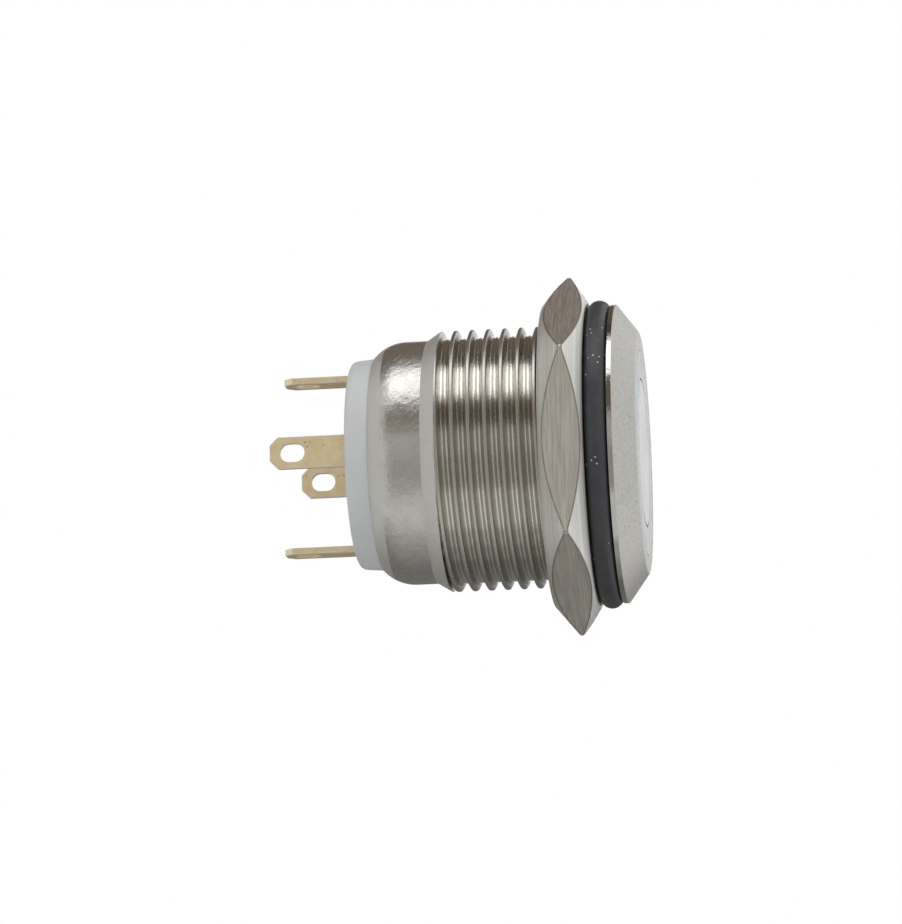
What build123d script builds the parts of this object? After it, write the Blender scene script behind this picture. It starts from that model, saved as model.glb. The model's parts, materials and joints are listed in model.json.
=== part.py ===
"""Anti-vandal push button for a 16 mm panel hole: a turned metal housing with a ring light,
a hexagon nut, a gasket and four solder terminals.

Millimetres. The button's axis runs along Y. The origin is on that axis, in the plane of the
flange's rear face, which seats on the panel. The front faces -Y, the terminals point to +Y and
+Z is up. Every value with y in its name is a place along the axis, counted from the origin.
"""
import os
from math import cos, radians, sin, sqrt, tan

from build123d import *

# Thread of the housing and the nut
thread_d = 16.0
thread_pitch = 1.0
thread_depth = 0.54
thread_flank_deg = 30.0
thread_play = 0.05
thread_neck = 0.9
thread_first_ridge = 1.62
thread_end_chamfer = 0.85

# Head of the housing
flange_overhang = 1.12
rim_width = 0.33
head_height = 1.62
face_width = 1.1
neck_relief = 0.12

# Barrel and rolled rear edge of the housing
barrel_wall = 0.93
window_lip = 0.25
window_depth = 1.2
collar_relief = 0.02
collar_length = 1.01
skirt_wall = 0.45
roll_radius = 2.6
roll_drop = 0.9
roll_play = 0.04
lip_play = 0.02

# Fits between the inner pieces
seat_play = 0.02
side_play = 0.05

# Moving button
button_travel = 1.0
cap_edge = 0.12
cap_gap = 0.08
spigot_d = 2.4
spigot_length = 1.2

# Seal ring on the cap
seal_depth = 0.6
seal_width = 0.56
seal_corner = 0.14
seal_y = 0.4

# Light ring and light board
ring_width = 1.7
ring_length = 4.22
ring_skirt_wall = 0.35
board_t = 0.6
board_gap = 0.2
led_count = 4
led_length = 1.2
led_height = 0.42
led_air = 0.06
led_margin = 0.08
resistor_length = 0.9
resistor_height = 0.36
resistor_deg = 15.0

# Plunger
plunger_overlap = 0.2
plunger_flange_t = 0.7
stem_d = 3.8
stem_inset = 0.2
pin_d = 1.4
pin_end = 0.38

# Contact carrier
well_gap = 0.08
well_depth = 3.28
floor_t = 0.8
chamber_wall = 0.6

# Springs
return_wire = 0.4
return_gap = 0.4
return_turns = 3.5
contact_wire = 0.24
contact_gap = 0.15
contact_turns = 2.5
contact_spring_length = 1.06

# Switch contacts
bridge_end = 0.8
bridge_width = 2.6
bridge_corner = 0.7
bridge_t = 0.3
tip_d = 1.3
tip_height = 0.25
tip_inset = 1.6
contact_play = 0.05
clip_t = 0.2
clip_width = 0.6
clip_mouth = 1.1

# Insulator base
base_flange = 1.66
base_neck = 1.45
base_draft = 0.14
base_edge = 0.45
base_recess_d = 5.6
base_recess_depth = 0.3

# Terminals
terminal_width = 1.95
terminal_t = 0.4
terminal_inset = 1.23
terminal_clock_deg = 10.3
terminal_corner = 0.5
terminal_out_common = 4.6
terminal_out_open = 4.2
terminal_out_plus = 4.35
terminal_out_minus = 4.5
eye_width = 1.12
eye_length = 1.5
eye_from_tip = 0.62
tab_length = 2.6
prong_width = 0.8
prong_step = 1.0

# Gasket between flange and nut
gasket_t = 1.36

# Hexagon nut
nut_t = 2.72
nut_wall = 1.6
nut_corner_cut = 0.14
nut_ridge_from_front = 1.17
nut_front_deg = 57.0
nut_rear_deg = 50.8
nut_tilt_deg = 6.4
nut_mouth = 0.08
nut_ridge_start_deg = 110.0

# Thread form
thread_r = thread_d / 2
root_r = thread_r - thread_depth
crest_width = thread_pitch / 8
flank_slope = tan(radians(thread_flank_deg))
root_width = thread_pitch - crest_width - 2 * thread_depth * flank_slope
ridge_sink = 0.1
ridge_base_width = crest_width + 2 * (thread_depth + ridge_sink) * flank_slope

# Radii that follow, from the outside inwards
flange_r = thread_r + flange_overhang
collar_r = root_r - collar_relief
roll_center_r = collar_r - roll_radius
lip_r = collar_r - roll_drop
neck_r = lip_r - lip_play
bore_r = root_r - barrel_wall
inner_r = bore_r - side_play
window_r = bore_r - window_lip
face_r = window_r + face_width
ring_skirt_r = inner_r - ring_skirt_wall
ring_bore_r = window_r - seat_play - ring_width
cap_r = ring_bore_r - cap_gap
plunger_r = ring_bore_r + plunger_overlap
board_bore_r = plunger_r + board_gap
well_r = plunger_r + well_gap
chamber_r = inner_r - chamber_wall
stem_r = stem_d / 2
pin_r = pin_d / 2
terminal_radius = neck_r - terminal_inset
tip_radius = terminal_radius - tip_inset
base_flange_r = collar_r - skirt_wall - roll_play

# Places along the axis that follow, from the front to the rear
front_y = -head_height
ring_y_rear = front_y + ring_length
board_y = ring_y_rear + led_height + led_air + seat_play
carrier_y = board_y + board_t + seat_play
plunger_y = ring_y_rear + seat_play
plunger_y_rear = plunger_y + plunger_flange_t
floor_y = carrier_y + well_depth
chamber_y = floor_y + floor_t
stem_y_end = chamber_y - stem_inset
bridge_y = stem_y_end + contact_spring_length + 2 * seat_play
bridge_y_rear = bridge_y + bridge_t
fixed_tip_y = bridge_y_rear + tip_height + button_travel + contact_play
tab_y = fixed_tip_y + tip_height
base_y = tab_y + terminal_t + seat_play
roll_y_start = base_y + base_flange
thread_y_end = roll_y_start - collar_length
lip_y_end = roll_y_start + sqrt(roll_radius**2 - (lip_r - roll_center_r) ** 2)
base_y_end = lip_y_end + base_neck
prong_y_step = base_y + prong_step
nut_y = gasket_t + 2 * seat_play
nut_y_rear = nut_y + nut_t
REAR = (0, 1, 0)


def turned(*points):
    """A turned piece: the outline is given as (radius, y) corners and spun about the axis."""
    return revolve(make_face(Polyline(*points, close=True)), Axis.Y)


def tube(r_inner, r_outer, y_start, y_end):
    """A plain ring about the axis."""
    return turned((r_inner, y_start), (r_outer, y_start), (r_outer, y_end), (r_inner, y_end))


def rod(radius, y_start, y_end, x=0.0, z=0.0):
    """A round rod along the axis direction."""
    disc = Plane(origin=(x, y_start, z), x_dir=(1, 0, 0), z_dir=REAR) * Circle(radius)
    return extrude(disc, y_end - y_start)


def block(x_size, z_size, y_start, y_end, x=0.0, z=0.0):
    """A box between two places along the axis."""
    return Pos(x, (y_start + y_end) / 2, z) * Box(x_size, y_end - y_start, z_size)


def clocked(shape, quarter=0):
    """Turns a piece of the terminal block to its place, a quarter turn at a time."""
    return Rotation(0, terminal_clock_deg + 90 * quarter, 0) * shape


def roll_arc(radius, r_end):
    """The rolled edge: an arc that leaves the straight skirt and ends at the radius r_end."""
    def at(angle_cos):
        y = roll_y_start + radius * sqrt(1 - angle_cos**2)
        return (roll_center_r + radius * angle_cos, y)
    end_cos = (r_end - roll_center_r) / radius
    return ThreePointArc(at(1.0), at((1 + end_cos) / 2), at(end_cos))


def spun(*edges):
    """A turned piece from lines and arcs that meet end to end."""
    return revolve(make_face(Curve() + list(edges)), Axis.Y)


def helical_ridge(y_start, y_end, seat_r, seat_width, top_r, top_width, start_deg=0.0):
    """One ridge of a right-hand thread: a flat-topped V carried along a helix about the axis.

    The ridge begins start_deg further round the same helix, so its flanks stay in step.
    """
    y_start += thread_pitch * start_deg / 360
    path = Helix(thread_pitch, y_end - y_start, seat_r, center=(0, y_start, 0), direction=REAR)
    start = path @ 0
    plane = Plane(origin=start, x_dir=Vector(start.X, 0, start.Z), z_dir=path % 0)
    height = top_r - seat_r
    corners = (
        (0, -seat_width / 2),
        (height, -top_width / 2),
        (height, top_width / 2),
        (0, seat_width / 2),
    )
    ridge = sweep(plane * make_face(Polyline(*corners, close=True)), path=path, is_frenet=True)
    return Rotation(0, start_deg, 0) * ridge


def spring(mean_r, wire, turns, y_start, y_end):
    """A compression spring between two seats, its wire drawn with eight flats to stay light."""
    height = y_end - y_start - wire
    path = Helix(height / turns, height, mean_r, center=(0, y_start + wire / 2, 0), direction=REAR)
    section = Plane(origin=path @ 0, z_dir=path % 0) * RegularPolygon(wire / 2, 8)
    return sweep(section, path=path, is_frenet=True)


def housing():
    """The turned housing: head, neck, thread, collar and the edge rolled over the base."""
    outer = roll_arc(roll_radius, lip_r)
    inner = roll_arc(roll_radius - skirt_wall, lip_r)
    step_y = front_y + window_depth
    rear = spun(
        outer,
        Line(outer @ 1, inner @ 1),
        inner,
        Polyline(
            inner @ 0,
            (collar_r - skirt_wall, base_y - seat_play),
            (bore_r, base_y - seat_play),
            (bore_r, step_y),
            (window_r, step_y),
            (window_r, front_y),
            (face_r, front_y),
            (flange_r, -rim_width),
            (flange_r, 0),
            (root_r - neck_relief, 0),
            (root_r - neck_relief, thread_neck),
            (collar_r, thread_neck + neck_relief - collar_relief),
            outer @ 0,
        ),
    )
    return rear + threaded_sleeve()


def threaded_sleeve():
    """The thread on a thin sleeve, cut to a cone at its rear end and ready to join the barrel."""
    y_start = thread_neck + neck_relief
    half = ridge_base_width / 2
    ridge = helical_ridge(
        thread_first_ridge,
        thread_y_end + half,
        root_r - ridge_sink,
        ridge_base_width,
        thread_r,
        crest_width,
    )
    sleeve = tube(collar_r - ridge_sink, root_r, y_start, thread_y_end + 2 * half) + ridge
    over_r = thread_r + thread_depth
    cone_y = thread_y_end - thread_end_chamfer
    envelope = turned(
        (0, y_start),
        (over_r, y_start),
        (over_r, cone_y - thread_end_chamfer * (over_r - thread_r) / thread_depth),
        (root_r, thread_y_end),
        (0, thread_y_end),
    )
    return sleeve & envelope


def halo_light_ring():
    """The clear ring around the button: it carries light from the board to the front."""
    step_y = front_y + window_depth + seat_play
    rim_y = board_y - seat_play
    return turned(
        (ring_bore_r, front_y),
        (window_r - seat_play, front_y),
        (window_r - seat_play, step_y),
        (inner_r, step_y),
        (inner_r, rim_y),
        (ring_skirt_r, rim_y),
        (ring_skirt_r, ring_y_rear),
        (ring_bore_r, ring_y_rear),
    )


def actuator_cap():
    """The metal cap that the finger presses, with a seal groove and a spigot for the plunger."""
    groove_r = ring_bore_r - seal_depth
    y_low = seal_y - seal_width / 2 - side_play
    y_high = seal_y + seal_width / 2 + side_play
    spigot_y = ring_y_rear + spigot_length
    return turned(
        (0, front_y),
        (cap_r - cap_edge, front_y),
        (cap_r, front_y + cap_edge),
        (cap_r, y_low),
        (groove_r, y_low),
        (groove_r, y_high),
        (cap_r, y_high),
        (cap_r, ring_y_rear),
        (spigot_d / 2, ring_y_rear),
        (spigot_d / 2, spigot_y),
        (0, spigot_y),
    )


def stem_seal_ring():
    """The small square-section seal in the cap's groove, which runs in the light ring."""
    height = seal_depth - 2 * seat_play
    middle = Pos(ring_bore_r - seal_depth / 2, seal_y)
    section = chamfer(Rectangle(height, seal_width).vertices(), seal_corner)
    return revolve(middle * section, Axis.Y)


def plunger():
    """The moulded plunger behind the cap: spring flange, guide stem and the pin of the contact."""
    socket_r = spigot_d / 2 + seat_play
    socket_y = ring_y_rear + spigot_length + seat_play
    pin_y_end = bridge_y_rear + seat_play + clip_t + pin_end
    return turned(
        (socket_r, plunger_y),
        (plunger_r, plunger_y),
        (plunger_r, plunger_y_rear),
        (stem_r, plunger_y_rear),
        (stem_r, stem_y_end),
        (pin_r, stem_y_end),
        (pin_r, pin_y_end),
        (0, pin_y_end),
        (0, socket_y),
        (socket_r, socket_y),
    )


def return_spring():
    """The spring that pushes the button back, from the carrier's floor to the plunger's flange."""
    mean_r = well_r - return_gap - return_wire / 2
    return spring(mean_r, return_wire, return_turns, plunger_y_rear + seat_play, floor_y - seat_play)


def contact_spring():
    """The small spring around the pin that holds the bridge against its clip."""
    mean_r = pin_r + contact_gap + contact_wire / 2
    y_start = stem_y_end + seat_play
    return spring(mean_r, contact_wire, contact_turns, y_start, y_start + contact_spring_length)


def moving_contact_bridge():
    """The flat strip that joins the two fixed contacts when the button is pressed."""
    strip = block(2 * (tip_radius + bridge_end), bridge_width, bridge_y, bridge_y_rear)
    strip = fillet(strip.edges().filter_by(Axis.Y), bridge_corner)
    return clocked(strip - rod(pin_r + side_play, bridge_y, bridge_y_rear))


def bridge_clip():
    """The open ring clip that keeps the bridge on the plunger's pin."""
    y_start = bridge_y_rear + seat_play
    inner = pin_r + seat_play
    outer = inner + clip_width
    ring = tube(inner, outer, y_start, y_start + clip_t)
    mouth = block(clip_mouth, outer, y_start, y_start + clip_t, z=outer / 2)
    return clocked(ring - mouth)


def contact_tip(y_start, side):
    """A contact rivet head at one side of the axis."""
    return clocked(rod(tip_d / 2, y_start, y_start + tip_height, x=side * tip_radius))


def led_board():
    """The ring-shaped circuit board behind the light ring."""
    return tube(board_bore_r, inner_r, board_y, board_y + board_t)


def on_board(length, height, angle_deg):
    """A small component on the front of the board, lying across a radius between its edges."""
    r_low = board_bore_r + led_margin
    r_high = sqrt((ring_skirt_r - led_margin) ** 2 - (length / 2) ** 2)
    part = block(r_high - r_low, length, board_y - height, board_y, x=(r_low + r_high) / 2)
    return Rotation(0, angle_deg, 0) * part


def contact_carrier():
    """The moulded carrier: spring well in front, floor, and the contact chamber behind."""
    y_end = base_y - seat_play
    guide_r = stem_r + side_play
    body = turned(
        (well_r, carrier_y),
        (inner_r, carrier_y),
        (inner_r, y_end),
        (chamber_r, y_end),
        (chamber_r, chamber_y),
        (guide_r, chamber_y),
        (guide_r, floor_y),
        (well_r, floor_y),
    )
    slot_x = prong_width + 2 * side_play
    slot_z = terminal_t + 2 * side_play
    for side in (-1, 1):
        body -= clocked(block(slot_x, slot_z, carrier_y, chamber_y, z=side * terminal_radius))
    return body


def insulator_base():
    """The moulded base: flange inside the skirt, rounded shoulder and the visible rear end."""
    shoulder = roll_arc(roll_radius - skirt_wall - roll_play, neck_r)
    rear_r = neck_r - base_draft
    edge_y = base_y_end - base_edge
    slant = base_edge * (1 - cos(radians(45)))
    floor = base_y_end - base_recess_depth
    body = spun(
        shoulder,
        Line(shoulder @ 1, (rear_r, edge_y)),
        ThreePointArc((rear_r, edge_y), (rear_r - slant, base_y_end - slant), (rear_r - base_edge, base_y_end)),
        Polyline(
            (rear_r - base_edge, base_y_end),
            (base_recess_d / 2, base_y_end),
            (base_recess_d / 2, floor),
            (0, floor),
            (0, base_y),
            (base_flange_r, base_y),
            shoulder @ 0,
        ),
    )
    for quarter in range(4):
        body -= clocked(terminal_slot(switch=quarter % 2 == 1), quarter)
    return body


def terminal_slot(switch):
    """The slot that one terminal passes through, at the top of the base."""
    wide = terminal_width + 2 * seat_play
    thick = terminal_t + 2 * seat_play
    narrow = wide if switch else prong_width + 2 * seat_play
    y_step = prong_y_step - seat_play
    slot = block(wide, thick, y_step, base_y_end, z=terminal_radius)
    return slot + block(narrow, thick, base_y, y_step, z=terminal_radius)


def terminal_blade(y_start, length_out):
    """The flat blade of a terminal with its clipped corners and solder eye, at the top."""
    y_tip = base_y_end + length_out
    half = terminal_width / 2
    corners = (
        (-half, y_start),
        (half, y_start),
        (half, y_tip - terminal_corner),
        (half - terminal_corner, y_tip),
        (terminal_corner - half, y_tip),
        (-half, y_tip - terminal_corner),
    )
    plate = extrude(make_face(Polyline(*corners, close=True)), terminal_t)
    eye_y = y_tip - eye_from_tip - eye_length / 2
    eye = extrude(Pos(0, eye_y) * SlotOverall(eye_length, eye_width, rotation=90), terminal_t)
    return Pos(0, 0, terminal_radius - terminal_t / 2) * (plate - eye)


def switch_terminal(quarter, length_out):
    """A terminal of the switch: its inner end is bent towards the axis and carries a contact."""
    outer = terminal_radius + terminal_t / 2
    tab = block(terminal_width, tab_length, tab_y, tab_y + terminal_t, z=outer - tab_length / 2)
    return clocked(terminal_blade(tab_y, length_out) + tab, quarter)


def light_terminal(quarter, length_out):
    """A terminal of the light: a narrow prong goes forward through the carrier to the board."""
    prong = block(prong_width, terminal_t, carrier_y, prong_y_step, z=terminal_radius)
    return clocked(terminal_blade(prong_y_step, length_out) + prong, quarter)


def panel_gasket():
    """The rubber O-ring between flange and nut, a plain ring of round section."""
    section_r = gasket_t / 2
    ring_r = thread_r + side_play + section_r
    return Pos(0, seat_play + section_r, 0) * Rotation(90, 0, 0) * Torus(ring_r, section_r)


def hex_nut():
    """The hexagon nut: two turned cones meet at the corners and leave leaf-shaped flats."""
    seat_r = thread_r + thread_play
    flats = seat_r + nut_wall
    corner_r = flats / cos(radians(30)) - nut_corner_cut
    y_ridge = nut_y + nut_ridge_from_front
    mouth_r = seat_r + nut_mouth
    turned_blank = turned(
        (seat_r, nut_y + nut_mouth),
        (mouth_r, nut_y),
        (corner_r - nut_ridge_from_front * tan(radians(nut_front_deg)), nut_y),
        (corner_r, y_ridge),
        (corner_r - (nut_y_rear - y_ridge) * tan(radians(nut_rear_deg)), nut_y_rear),
        (mouth_r, nut_y_rear),
        (seat_r, nut_y_rear - nut_mouth),
    )
    face_plane = Plane(origin=(0, nut_y, 0), x_dir=(1, 0, 0), z_dir=REAR)
    prism = extrude(face_plane * RegularPolygon(flats, 6, major_radius=False, rotation=30), nut_t)
    return Rotation(0, nut_tilt_deg, 0) * (turned_blank & prism) + nut_ridge(seat_r)


def nut_ridge(seat_r):
    """The ridge inside the nut, half a pitch from the housing's ridge and as far from its flanks."""
    crest_r = root_r + thread_play
    flank_play = thread_play / cos(radians(thread_flank_deg))
    top_width = root_width + 2 * (thread_play * flank_slope - flank_play)
    outer_r = seat_r + ridge_sink
    seat_width = top_width + 2 * (outer_r - crest_r) * flank_slope
    y_start = thread_first_ridge + thread_pitch / 2
    y_end = nut_y_rear - seat_width / 2 - nut_mouth
    return helical_ridge(y_start, y_end, outer_r, seat_width, crest_r, top_width, nut_ridge_start_deg)


def build():
    """Every piece by its name."""
    pieces = {
        "housing": housing(),
        "halo_light_ring": halo_light_ring(),
        "actuator_cap": actuator_cap(),
        "stem_seal_ring": stem_seal_ring(),
        "plunger": plunger(),
        "return_spring": return_spring(),
        "contact_spring": contact_spring(),
        "moving_contact_bridge": moving_contact_bridge(),
        "bridge_clip": bridge_clip(),
        "moving_contact_common": contact_tip(bridge_y_rear, -1),
        "moving_contact_open": contact_tip(bridge_y_rear, 1),
        "fixed_contact_common": contact_tip(fixed_tip_y, -1),
        "fixed_contact_open": contact_tip(fixed_tip_y, 1),
        "led_board": led_board(),
        "led_resistor": on_board(resistor_length, resistor_height, resistor_deg),
        "contact_carrier": contact_carrier(),
        "insulator_base": insulator_base(),
        "terminal_common": switch_terminal(3, terminal_out_common),
        "terminal_normally_open": switch_terminal(1, terminal_out_open),
        "terminal_light_plus": light_terminal(0, terminal_out_plus),
        "terminal_light_minus": light_terminal(2, terminal_out_minus),
        "panel_gasket": panel_gasket(),
        "hex_nut": hex_nut(),
    }
    for number in range(led_count):
        angle = 45 + 360 / led_count * number
        pieces[f"led_{number + 1}"] = on_board(led_length, led_height, angle)
    return pieces


os.makedirs("parts", exist_ok=True)
for name, piece in build().items():
    export_step(piece, f"parts/{name}.step")
    box = piece.bounding_box()
    print(f"{name}: {piece.volume:.3f} mm3, y {box.min.Y:.2f} to {box.max.Y:.2f}")
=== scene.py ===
# %% [markdown]
# # A panel push button, dressed
# The button is a turned metal housing with a rolled thread, a rubber O-ring, a hexagon nut, a white
# moulded rear end and four flat terminals. The solid model is loaded first and never moved: each
# piece that is made here lies in the same frame, with its place in its own mesh.

# %% Load the solid model
import json
from math import acos, atan2, cos, pi, radians, sin, sqrt, tan

import bmesh
import bpy
from mathutils import Matrix, Vector

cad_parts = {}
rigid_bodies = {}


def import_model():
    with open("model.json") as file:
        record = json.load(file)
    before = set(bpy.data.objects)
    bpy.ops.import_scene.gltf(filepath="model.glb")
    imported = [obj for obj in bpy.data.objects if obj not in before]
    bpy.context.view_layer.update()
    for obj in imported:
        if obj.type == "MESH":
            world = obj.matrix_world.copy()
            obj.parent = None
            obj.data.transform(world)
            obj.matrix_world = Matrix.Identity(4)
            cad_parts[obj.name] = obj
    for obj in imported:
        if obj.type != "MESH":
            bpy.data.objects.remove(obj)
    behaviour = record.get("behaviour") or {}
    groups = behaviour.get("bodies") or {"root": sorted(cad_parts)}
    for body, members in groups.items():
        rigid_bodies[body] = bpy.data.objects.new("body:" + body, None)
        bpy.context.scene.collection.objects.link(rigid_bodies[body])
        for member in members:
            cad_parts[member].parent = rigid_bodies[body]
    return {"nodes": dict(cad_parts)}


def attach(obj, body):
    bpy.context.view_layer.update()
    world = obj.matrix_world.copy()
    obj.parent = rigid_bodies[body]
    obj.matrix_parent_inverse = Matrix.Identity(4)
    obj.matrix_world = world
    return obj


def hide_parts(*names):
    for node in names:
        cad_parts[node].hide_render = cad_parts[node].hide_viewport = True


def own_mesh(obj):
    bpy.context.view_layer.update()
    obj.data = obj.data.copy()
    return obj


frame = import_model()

MM = 0.001
scene = bpy.context.scene
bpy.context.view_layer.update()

# %% [markdown]
# ## Tools for the whole scene
# Objects, meshes and nodes are made in the same few ways all through, so each way is written once.
# Node trees could be drawn by hand in the editor. Here they are written out, so that every number in
# them has a name and the same line gives the same node each time.

# %% New objects and meshes
def placed(name, data):
    """A new object in the scene."""
    obj = bpy.data.objects.new(name, data)
    scene.collection.objects.link(obj)
    return obj


def built(name, points, faces, *materials):
    """A new mesh object from points and faces, with its materials."""
    mesh = bpy.data.meshes.new(name)
    mesh.from_pydata(points, [], faces)
    for material in materials:
        mesh.materials.append(material)
    return placed(name, mesh)


# %% A short way to fill a node tree
class Nodes:
    """Adds nodes to one tree: a value may be a socket or a plain number."""

    def __init__(self, tree):
        self.tree = tree

    def add(self, kind, settings=None, **inputs):
        """Adds a node, sets its options, and links or sets its inputs by name or by i0, i1, ..."""
        node = self.tree.nodes.new(kind)
        for option, value in (settings or {}).items():
            setattr(node, option, value)
        for label, value in inputs.items():
            numbered = label[0] == "i" and label[1:].isdigit()
            socket = node.inputs[int(label[1:]) if numbered else label.replace("_", " ")]
            if isinstance(value, bpy.types.NodeSocket):
                self.tree.links.new(value, socket)
            else:
                socket.default_value = value
        return node

    def get(self, kind, settings=None, **inputs):
        """Adds a node and gives its first output."""
        return self.add(kind, settings, **inputs).outputs[0]

    def math(self, operation, *values):
        """A Math node; gives its output."""
        inputs = {f"i{i}": value for i, value in enumerate(values)}
        return self.get("ShaderNodeMath", {"operation": operation}, **inputs)

    def xyz(self, x=0.0, y=0.0, z=0.0):
        """Combine XYZ."""
        return self.get("ShaderNodeCombineXYZ", X=x, Y=y, Z=z)


class Group(Nodes):
    """A node group with named inputs and one output; a geometry group also takes a material."""

    def __init__(self, name, kind, inputs, output="Geometry"):
        super().__init__(bpy.data.node_groups.new(name, kind + "NodeTree"))
        new_socket = self.tree.interface.new_socket
        socket_kind = {float: "Float", int: "Int", tuple: "Vector"}
        self.ids = {}
        for label, value in inputs.items():
            socket = new_socket(label, in_out="INPUT", socket_type="NodeSocket" + socket_kind[type(value)])
            socket.default_value = value
            self.ids[label] = socket.identifier
        if kind == "Geometry":
            socket = new_socket("Material", in_out="INPUT", socket_type="NodeSocketMaterial")
            self.ids["Material"] = socket.identifier
        output_kind = "Geometry" if kind == "Geometry" else "Float"
        new_socket(output, in_out="OUTPUT", socket_type="NodeSocket" + output_kind)
        self.start = self.tree.nodes.new("NodeGroupInput")
        self.end = self.tree.nodes.new("NodeGroupOutput")

    def __getitem__(self, label):
        return self.start.outputs[label]

    def give(self, value):
        """Ends the group; geometry goes through Realize Instances and Set Material first."""
        if value.type == "GEOMETRY":
            value = self.get("GeometryNodeRealizeInstances", Geometry=value)
            value = self.get("GeometryNodeSetMaterial", Geometry=value, Material=self["Material"])
        self.tree.links.new(value, self.end.inputs[0])
        print("group", self.tree.name, "with", len(self.tree.nodes), "nodes")


def emptied(owner):
    """The cleared node tree of a world or a material."""
    owner.use_nodes = True
    owner.node_tree.nodes.clear()
    return Nodes(owner.node_tree)


print("tools for objects, meshes and nodes are ready")

# %% [markdown]
# ## The camera
# The photograph was taken with a long lens from the side, so the camera stands far off on -X and looks
# along +X, turned a little towards the front face and leaning a little. Its place follows from
# the turn, the lean and the distance, and the shift stays at zero.

# %% Camera at the photograph's angle
turn, lean = radians(6.08), radians(2.6)
camera_distance = 264.9 * MM
offset_right, offset_up = 2.236 * MM, 0.121 * MM
focal_pixels, long_side_pixels, sensor_mm = 4326.0, 924, 36.0
aim = Vector((0, 8 * MM, 0))

forward = Vector((cos(turn), sin(turn), 0))
level_right = Vector((sin(turn), -cos(turn), 0))
up = Vector((0, 0, 1))
camera_right = cos(lean) * level_right - sin(lean) * up
camera_up = sin(lean) * level_right + cos(lean) * up

camera_data = bpy.data.cameras.new("side_view")
camera_data.sensor_width = sensor_mm
camera_data.lens = focal_pixels * sensor_mm / long_side_pixels
camera_data.clip_start = 0.01
camera = placed("side_view", camera_data)
place = aim - offset_right * camera_right - offset_up * camera_up - camera_distance * forward
axes = Matrix((camera_right, camera_up, -forward)).transposed().to_4x4()
camera.matrix_world = Matrix.Translation(place) @ axes
scene.camera = camera
print("lens", round(camera_data.lens, 1), "mm, camera at", [round(v, 3) for v in place])

# %% [markdown]
# ## Light and background
# A product photograph like this one is lit by large soft boxes in a pale room. The floor and the
# world show plain white to the camera, and to what mirrors or transmits them, through the Light Path
# node, so no extra light falls on the metal.

# %% White for the camera, a plain level of light for the object
scene.view_settings.view_transform = "Standard"


def white_where_seen(nodes, plain, white_kind):
    """Plain white for camera, glossy and transmission rays, and the plain shader for the rest."""
    rays = nodes.add("ShaderNodeLightPath").outputs
    seen = nodes.math("MAXIMUM", rays["Is Camera Ray"], rays["Is Glossy Ray"])
    seen = nodes.math("MAXIMUM", seen, rays["Is Transmission Ray"])
    white = nodes.get(white_kind, Color=(1, 1, 1, 1))
    return nodes.get("ShaderNodeMixShader", Fac=seen, i1=plain, i2=white)


scene.world = bpy.data.worlds.new("studio_room")
nodes = emptied(scene.world)
room = nodes.get("ShaderNodeBackground", Color=(0.90, 0.91, 0.93, 1), Strength=0.48)
nodes.add("ShaderNodeOutputWorld", Surface=white_where_seen(nodes, room, "ShaderNodeBackground"))

floor_material = bpy.data.materials.new("pale_floor")
nodes = emptied(floor_material)
matt = nodes.get("ShaderNodeBsdfDiffuse", Color=(0.86, 0.86, 0.86, 1))
nodes.add("ShaderNodeOutputMaterial", Surface=white_where_seen(nodes, matt, "ShaderNodeEmission"))

floor_z, floor_half = -125 * MM, 3.0
corners = [(x * floor_half, y * floor_half, floor_z) for x, y in ((-1, -1), (1, -1), (1, 1), (-1, 1))]
floor = built("floor", corners, [(0, 1, 2, 3)], floor_material)
print("white floor at z", floor_z / MM, "mm")

# %% [markdown]
# ## Soft boxes and cards
# Polished metal has no look of its own: it shows what stands round it. In the photograph the top of
# the barrel mirrors something brown and dark behind it, then a bright soft box overhead, then a grey
# room with two darker edges, and the dark below. Each of these is a lamp or a card here. The cards are
# seen by mirror-like rays alone, so they shape the reflections and leave the light as it is.

# %% Lamps
def soft_box(name, place_mm, size_mm, power, target_mm=(0, 8, 0)):
    """A rectangular area lamp that looks at the button; its long side lies along Y."""
    lamp = bpy.data.lights.new(name, "AREA")
    lamp.shape = "RECTANGLE"
    lamp.size, lamp.size_y = size_mm[0] * MM, size_mm[1] * MM
    lamp.energy = power
    obj = placed(name, lamp)
    gaze = (Vector(target_mm) - Vector(place_mm)).normalized()
    side = Vector((0, 1, 0)) - gaze * gaze.y
    side.normalize()
    axes = Matrix((gaze.cross(side) * -1, side, -gaze)).transposed().to_4x4()
    obj.matrix_world = Matrix.Translation(Vector(place_mm) * MM) @ axes
    return obj


soft_box("overhead_box", (-36, 8, 238), (136, 260), 0.146)
soft_box("front_box", (-190, -160, 150), (120, 120), 0.12).visible_glossy = False
soft_box("rear_box", (-210, 190, 90), (140, 140), 0.125).visible_glossy = False
print("three soft boxes")


# %% Cards round the button
def card(name, points, faces, level):
    """A plain card that only mirror-like rays see."""
    material = bpy.data.materials.new(name)
    nodes = emptied(material)
    glow = nodes.get("ShaderNodeEmission", Color=(*level, 1))
    nodes.add("ShaderNodeOutputMaterial", Surface=glow)
    obj = built(name, points, faces, material)
    for ray in ("camera", "diffuse", "shadow", "transmission", "volume_scatter"):
        setattr(obj, "visible_" + ray, False)


def curved_card(name, low_deg, high_deg, level, distance_mm, ends_mm):
    """A card bent round the Y axis; the angle is counted from the camera's side upwards."""
    points, steps = [], 12
    for i in range(steps + 1):
        angle = radians(low_deg + (high_deg - low_deg) * i / steps)
        for y in ends_mm:
            points.append((-distance_mm * cos(angle) * MM, y * MM, distance_mm * sin(angle) * MM))
    card(name, points, [(2 * i, 2 * i + 1, 2 * i + 3, 2 * i + 2) for i in range(steps)], level)


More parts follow.
